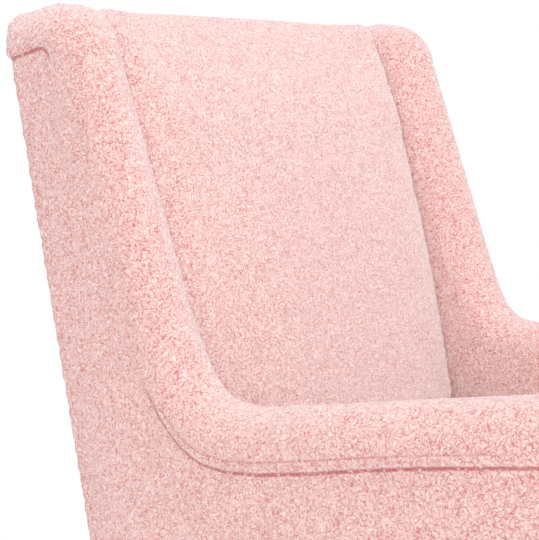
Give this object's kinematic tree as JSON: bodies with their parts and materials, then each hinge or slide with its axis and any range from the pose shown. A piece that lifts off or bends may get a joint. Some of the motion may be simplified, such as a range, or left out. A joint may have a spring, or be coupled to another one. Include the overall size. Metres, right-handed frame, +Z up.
{
  "type": "nursery glider chair",
  "caption": "Upholstered nursery armchair with a winged tight back, sloping padded arms and a loose seat cushion, gliding on a swivel link base.",
  "frame": {"origin": "on the floor under the middle of the overall box", "axes": "+Z up, -Y towards the front where the sitter's feet go, +X to the sitter's left"},
  "size_m": [0.724, 0.7906, 0.9846],
  "materials": {
    "boucle": "light pink looped boucle pile",
    "lining_cloth": "dark woven lining cloth",
    "wood": "sawn plywood and softwood, unfinished",
    "black_steel": "satin black powder coat",
    "zinc_steel": "bright zinc plate",
    "spring_steel": "oiled dark spring wire",
    "rubber": "matte black rubber",
    "nylon": "natural white nylon"
  },
  "bodies": {
    "base": {"base_ring": "black_steel", "floor_pad_1": "nylon", "floor_pad_2": "nylon", "floor_pad_3": "nylon", "floor_pad_4": "nylon", "base_cross": "black_steel", "swivel_lower_race": "zinc_steel", "swivel_king_bolt": "zinc_steel"},
    "ball_cage": {"swivel_ball_cage": "nylon"},
    "turntable": {"swivel_upper_race": "zinc_steel", "turntable_crossbar_front": "black_steel", "turntable_crossbar_rear": "black_steel", "stand_left": "black_steel", "stand_right": "black_steel", "upper_pin_front_left": "zinc_steel", "upper_pin_rear_left": "zinc_steel", "upper_pin_front_right": "zinc_steel", "upper_pin_rear_right": "zinc_steel", "bumper_front_left": "rubber", "bumper_rear_left": "rubber", "bumper_front_right": "rubber", "bumper_rear_right": "rubber"},
    "link_body_front_left": {"link_front_left": "zinc_steel"},
    "link_body_rear_left": {"link_rear_left": "zinc_steel"},
    "link_body_front_right": {"link_front_right": "zinc_steel"},
    "link_body_rear_right": {"link_rear_right": "zinc_steel"},
    "chair_body": {"side_pad_left": "boucle", "side_pad_right": "boucle", "outer_side_panel_left": "boucle", "outer_side_panel_right": "boucle", "inner_back_pad": "boucle", "outer_back_panel": "boucle", "front_apron": "boucle", "seat_deck": "lining_cloth", "dust_cover": "lining_cloth", "side_frame_left": "wood", "side_frame_right": "wood", "front_rail": "wood", "rear_seat_rail": "wood", "back_top_rail": "wood", "back_bottom_rail": "wood", "mount_rail_left": "wood", "mount_rail_right": "wood", "seat_spring_1": "spring_steel", "seat_spring_2": "spring_steel", "seat_spring_3": "spring_steel", "seat_spring_4": "spring_steel", "hanger_front_left": "black_steel", "hanger_rear_left": "black_steel", "hanger_front_right": "black_steel", "hanger_rear_right": "black_steel", "lower_pin_front_left": "zinc_steel", "lower_pin_rear_left": "zinc_steel", "lower_pin_front_right": "zinc_steel", "lower_pin_rear_right": "zinc_steel", "mount_bolt_front_left": "zinc_steel", "mount_bolt_rear_left": "zinc_steel", "mount_bolt_front_right": "zinc_steel", "mount_bolt_rear_right": "zinc_steel"},
    "cushion": {"seat_cushion": "boucle"}
  },
  "joints": [
    {"name": "swivel", "type": "hinge", "parent": "base", "child": "turntable", "pos_m": [0, -0.018, 0.0418], "axis": [0, 0, 1], "continuous": true},
    {"name": "ball_cage_turn", "type": "hinge", "parent": "base", "child": "ball_cage", "pos_m": [0, -0.018, 0.0418], "axis": [0, 0, 1], "continuous": true},
    {"name": "glide", "type": "hinge", "parent": "turntable", "child": "link_body_front_left", "pos_m": [0.199, -0.163, 0.188], "axis": [1, 0, 0], "range_deg": [-25, 25]},
    {"name": "link_front_right_swing", "type": "hinge", "parent": "turntable", "child": "link_body_front_right", "pos_m": [-0.199, -0.163, 0.188], "axis": [1, 0, 0], "range_deg": [-25, 25]},
    {"name": "link_rear_left_swing", "type": "hinge", "parent": "turntable", "child": "link_body_rear_left", "pos_m": [0.199, 0.127, 0.188], "axis": [1, 0, 0], "range_deg": [-25, 25]},
    {"name": "link_rear_right_swing", "type": "hinge", "parent": "turntable", "child": "link_body_rear_right", "pos_m": [-0.199, 0.127, 0.188], "axis": [1, 0, 0], "range_deg": [-25, 25]},
    {"name": "body_on_links", "type": "hinge", "parent": "link_body_front_left", "child": "chair_body", "pos_m": [0.199, -0.163, 0.073], "axis": [1, 0, 0], "range_deg": [-25, 25]},
    {"name": "seat_cushion_lift", "type": "slide", "parent": "chair_body", "child": "cushion", "axis": [0, 0, 1], "range_m": [0, 0.15]}
  ],
  "couplings": [
    {"joint": "ball_cage_turn", "follows": "swivel", "ratio": 0.5},
    {"joint": "link_front_right_swing", "follows": "glide", "ratio": 1},
    {"joint": "link_rear_left_swing", "follows": "glide", "ratio": 1},
    {"joint": "link_rear_right_swing", "follows": "glide", "ratio": 1},
    {"joint": "body_on_links", "follows": "glide", "ratio": -1}
  ]
}
